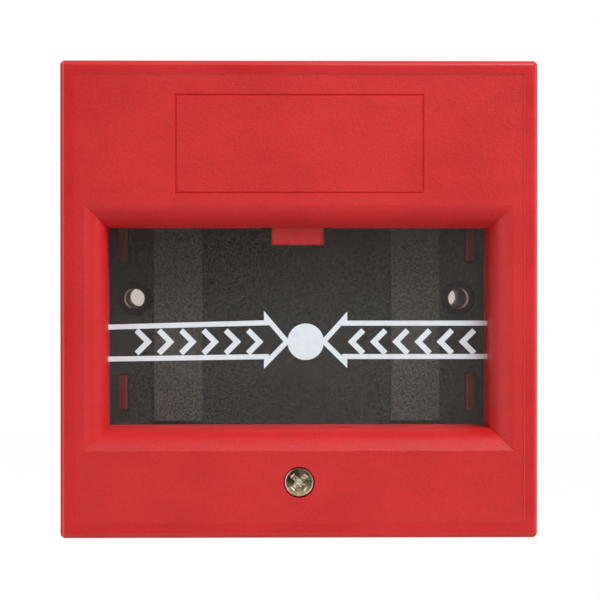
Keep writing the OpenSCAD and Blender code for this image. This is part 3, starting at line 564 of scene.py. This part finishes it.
def pan_head():
    front = SCREW_LO.y
    seat = front + HEAD_H
    flat_r = HEAD_R - HEAD_EDGE

    def dome(r):
        return front + DOME_R - math.sqrt(DOME_R ** 2 - r ** 2)

    steps = [i / ARC_STEPS for i in range(1, ARC_STEPS + 1)]
    profile = [(0, front)] + [(flat_r * t, dome(flat_r * t)) for t in steps]
    edge_y = dome(flat_r) + HEAD_EDGE
    start = math.asin(flat_r / DOME_R)
    for t in steps:
        a = start + (math.pi / 2 - start) * t
        profile.append((flat_r + HEAD_EDGE * math.sin(a), edge_y - HEAD_EDGE * math.cos(a)))
    profile += [(HEAD_R, seat - CHAMFER), (HEAD_R - CHAMFER, seat), (SHANK_R, seat), (0, seat)]
    bm = bmesh.new()
    lathe(bm, profile, SCREW_X, SCREW_Z)
    head = piece_from(bm, "screw_head", zinc.mat)
    above, below = front - 0.3 * MM, front + RECESS_DEPTH
    arm = list(zip(RECESS_REACH, RECESS_HALF))
    point = [(half, half) for half in POINT_HALF]
    cutters = []
    for k, (halves, back, degrees) in enumerate((
            (arm, below, 45), (arm, below, 135), (point, below + POINT_DEEPER, 0))):
        bm = bmesh.new()
        frustum(bm, SCREW_X, SCREW_Z, above, back, *halves, math.radians(degrees))
        cutter = piece_from(bm, "cutter_%d" % k, zinc.mat)
        cutters.append(cutter)
        cut = head.modifiers.new("cut_%d" % k, "BOOLEAN")
        cut.operation, cut.solver, cut.object = "DIFFERENCE", "EXACT", cutter
    soften = head.modifiers.new("soften", "BEVEL")
    soften.width, soften.segments, soften.limit_method = 0.07 * MM, 2, "ANGLE"
    soften.angle_limit = math.radians(32)
    finished = head.evaluated_get(bpy.context.evaluated_depsgraph_get())
    mesh = bpy.data.meshes.new_from_object(finished)
    head.modifiers.clear()
    head.data = mesh
    for cutter in cutters:
        bpy.data.objects.remove(cutter)
    smooth(mesh, 30)
    return head


def shank():
    seat = SCREW_LO.y + HEAD_H
    tip = SCREW_HI.y
    thread_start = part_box("threaded_insert")[0].y - 3 * MM
    bm = bmesh.new()
    profile = [(0, seat - 0.1 * MM), (SHANK_R, seat - 0.1 * MM),
               (SHANK_R, thread_start - 0.4 * MM), (CORE_R, thread_start),
               (CORE_R, tip - 0.5 * MM), (CORE_R - 0.4 * MM, tip), (0, tip)]
    lathe(bm, profile, SCREW_X, SCREW_Z, 48)
    helix(bm, thread_start + 0.2 * MM, tip - 0.7 * MM, CORE_R - 0.02 * MM, SHANK_R - 0.01 * MM,
          PITCH, SCREW_X, SCREW_Z)
    return piece_from(bm, "screw_shank", zinc.mat)


screw_pieces = (pan_head(), shank())
for piece in screw_pieces:
    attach(piece, "cover_screw")
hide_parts("cover_screw")

# ---------------------------------------------------------------------------------------------
# Circuit board: solder joints and printed tracks

BOARD_FRONT, BOARD_BACK = (corner.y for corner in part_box("circuit_board"))
TRACK_T = 0.05 * MM
TRACK_W = 1.2 * MM
BEND = 3.4 * MM                              # shortest run of a track before it turns
PIN_INSET = 1.8 * MM                         # outer pins, from the sides of the clamp cages
TAG_HALF = 0.25 * MM                         # half the thickness of a switch tag
solder = metal("solder", lin(200, 202, 204), lin(168, 170, 172), (0.2, 0.4), (1, 1, 1), 2.0, 0.01)
track = metal("masked_copper", lin(58, 124, 70), lin(48, 108, 60), (0.35, 0.5), (1, 1, 1),
              2.0, 0.004)
track.bsdf.inputs["Metallic"].default_value = 0.3


def middle(node):
    lo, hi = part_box(node)
    return (lo + hi) / 2


def solder_joint(bm, x, z, side, half, height):
    """Fillet of solder round a lead; side is -1 on the board's front and 1 on its back."""
    y = BOARD_FRONT if side < 0 else BOARD_BACK
    profile = [(0, y)] + [(half * (1 - 0.62 * k), y + side * height * k * (0.3 + 0.7 * k))
                          for k in (0, 0.15, 0.35, 0.6, 0.85, 1.0)] + [(0, y + side * height)]
    lathe(bm, profile, x, z, 28)


def track_line(bm, points):
    """Flat raised conductor on the board's front, along straight legs in X and Z."""
    outline = stroke([(x / MM, z / MM) for x, z in points], TRACK_W / MM)
    rings = [[bm.verts.new((x * MM, y, z * MM)) for x, z in outline]
             for y in (BOARD_FRONT - TRACK_T, BOARD_FRONT)]
    count = len(points)
    for ring in rings:
        for i in range(count - 1):
            bm.faces.new((ring[i], ring[i + 1], ring[-2 - i], ring[-1 - i]))
    for i in range(2 * count):
        bm.faces.new((rings[0][i - 1], rings[0][i], rings[1][i], rings[1][i - 1]))


CAGE_LO, CAGE_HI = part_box("clamp_cages")
CAGE_Z = middle("clamp_cages").z
CAGE_X = [CAGE_LO.x + PIN_INSET, middle("clamp_cages").x, CAGE_HI.x - PIN_INSET]
TAG_Z = middle("terminal_common").z
TAG_X = [middle("terminal_common").x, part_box("terminal_open")[1].x - TAG_HALF,
         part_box("terminal_closed")[0].x + TAG_HALF]
joints, tracks = bmesh.new(), bmesh.new()
for x in CAGE_X:
    solder_joint(joints, x, CAGE_Z, -1, 1.05 * MM, 0.7 * MM)
for x in TAG_X:
    solder_joint(joints, x, TAG_Z, 1, 1.5 * MM, 1.0 * MM)
for x in TAG_X:
    goal = sorted(CAGE_X)[sorted(TAG_X).index(x)]
    aside = abs(x - goal)
    turn_z = CAGE_Z + BEND + aside * 0.3
    track_line(tracks, [(x, TAG_Z), (x, turn_z), (goal, turn_z - aside), (goal, CAGE_Z)])
board_pieces = (piece_from(joints, "solder_joints", solder.mat, 60),
                piece_from(tracks, "board_tracks", track.mat, 30))
for piece in board_pieces:
    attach(piece, "base")

# ---------------------------------------------------------------------------------------------
# Stage, light and camera

AMBIENT = 0.32                               # the world's light on the object
DIM_ROOM = 0.02                              # the same from behind the camera
BACKDROP = 1.0                               # white
FLOOR_GLOW = 1.02
FLOOR_SEEN = 0.96                            # the rest of the floor takes light and shadow
FLOOR_Z = -0.09
FLOOR_X, FLOOR_FRONT, FLOOR_BACK = 1.2, -0.3, 1.2
LENS = 186.4
EYE = Vector((-0.013, RIM - 0.556, 0.0054))
AIM = Vector((0.00013, RIM, -0.0001))
MIDDLE = (0, -0.05, 0)                       # where the lamps in front point


def stage_material():
    """White to the camera and in reflections, with the object's shadow left a little visible."""
    s = Shader("studio_white")
    s.bsdf.inputs["Base Color"].default_value = (0.7, 0.7, 0.7, 1)
    s.feed("Roughness", s.ramp(s.noise(0.02), 0.3, 0.7, 0.8, 0.9))
    rays = s.add("ShaderNodeLightPath").outputs
    mirrored = s.math("MAXIMUM", rays["Is Glossy Ray"], rays["Is Transmission Ray"])
    seen = s.math("MAXIMUM", rays["Is Camera Ray"], mirrored)
    white = s.add("ShaderNodeEmission")
    white.inputs[0].default_value = (1, 1, 1, 1)
    white.inputs[1].default_value = FLOOR_GLOW
    mixer = s.add("ShaderNodeMixShader")
    s.link(s.product(seen, FLOOR_SEEN), mixer.inputs[0])
    s.link(s.bsdf.outputs[0], mixer.inputs[1])
    s.link(white.outputs[0], mixer.inputs[2])
    s.link(mixer.outputs[0], s.out.inputs["Surface"])
    return s.mat


def studio_world():
    """Even white light; the camera sees white, and gloss sees white walls and a dim room.

    The walls are to the sides and above, the dim room is behind the camera.
    """
    world = bpy.data.worlds.new("studio")
    bpy.context.scene.world = world
    world.use_nodes = True
    nodes, links = world.node_tree.nodes, world.node_tree.links
    nodes.clear()

    def number(op, a, b=0.0, clamp=False):
        node = nodes.new("ShaderNodeMath")
        node.operation, node.use_clamp = op, clamp
        for socket, value in zip(node.inputs, (a, b)):
            if isinstance(value, bpy.types.NodeSocket):
                links.new(value, socket)
            else:
                socket.default_value = value
        return node.outputs[0]

    split = nodes.new("ShaderNodeSeparateXYZ")
    links.new(nodes.new("ShaderNodeTexCoord").outputs["Generated"], split.inputs[0])
    way_x, way_y, way_z = split.outputs
    rays = nodes.new("ShaderNodeLightPath").outputs
    straight = number("ADD", rays["Is Camera Ray"], rays["Is Transmission Ray"], True)
    # 0 straight behind the camera, 1 from about 25 degrees away from there
    side = number("ADD", number("MULTIPLY", way_x, 0.9), number("ADD", way_y, 1.0))
    open_sky = number("MULTIPLY", side, 10.0, True)
    # More light comes from above than from below
    upper = number("MAXIMUM", number("ADD", way_z, 0.5, True), 0.15)
    sky = number("MULTIPLY", number("MULTIPLY", open_sky, upper), AMBIENT - DIM_ROOM)
    room = number("ADD", sky, DIM_ROOM)
    walls = number("MULTIPLY", number("ADD", way_y, 0.75), 2.0, True)
    walls = number("MULTIPLY", walls, number("ADD", way_z, 0.6, True))
    walls = number("MULTIPLY", walls, rays["Is Glossy Ray"])
    room = number("MAXIMUM", room, number("MULTIPLY", walls, BACKDROP))
    unseen = number("MULTIPLY", number("SUBTRACT", 1.0, straight), room)
    strength = number("ADD", number("MULTIPLY", straight, BACKDROP), unseen)
    # What shows through the glass and the fixing holes is the wall in the object's own shade
    shade = nodes.new("ShaderNodeMix")
    shade.data_type = "RGBA"
    links.new(rays["Is Transmission Ray"], shade.inputs[0])
    shade.inputs[6].default_value = (1, 1, 1, 1)
    shade.inputs[7].default_value = lin(208, 193, 183)
    light = nodes.new("ShaderNodeBackground")
    links.new(shade.outputs[2], light.inputs[0])
    links.new(strength, light.inputs[1])
    links.new(light.outputs[0], nodes.new("ShaderNodeOutputWorld").inputs[0])


def turn_to(obj, place, target):
    """Puts the lamp or camera at its place and points it at the target."""
    obj.location = place
    obj.rotation_mode = "QUATERNION"
    obj.rotation_quaternion = (Vector(target) - Vector(place)).to_track_quat("-Z", "Y")


def area_light(name, place, target, size, power):
    data = bpy.data.lights.new(name, "AREA")
    data.shape = "RECTANGLE"
    data.size, data.size_y = size
    data.energy = power
    turn_to(put_in_scene(name, data), place, target)


studio_world()
area_light("key", (0.22, -0.45, 0.43), MIDDLE, (0.3, 0.3), 3.4)
area_light("fill", (-0.6, -0.6, 0.1), MIDDLE, (0.5, 0.5), 1.1)
area_light("rim_right", (0.6, -0.11, 0.05), MIDDLE, (0.35, 0.5), 1.4)
area_light("rim_left", (-0.6, -0.11, 0.05), MIDDLE, (0.35, 0.5), 0.5)
area_light("back_fill", (-0.45, 0.6, 0.4), (0, -0.02, 0), (0.5, 0.5), 2.0)

# Floor: a plain pale sheet under the object, out of the main view
floor_mesh = bpy.data.meshes.new("floor")
floor_corners = [(-FLOOR_X, FLOOR_FRONT), (FLOOR_X, FLOOR_FRONT), (FLOOR_X, FLOOR_BACK),
                 (-FLOOR_X, FLOOR_BACK)]
floor_mesh.from_pydata([(x, y, FLOOR_Z) for x, y in floor_corners], [], [(0, 1, 2, 3)])
floor_mesh.materials.append(stage_material())
put_in_scene("floor", floor_mesh)

camera = bpy.data.cameras.new("camera")
camera.lens = LENS
camera.sensor_width = 36
cam = put_in_scene("camera", camera)
turn_to(cam, EYE, AIM)
bpy.context.scene.camera = cam
bpy.context.scene.view_settings.view_transform = "Standard"
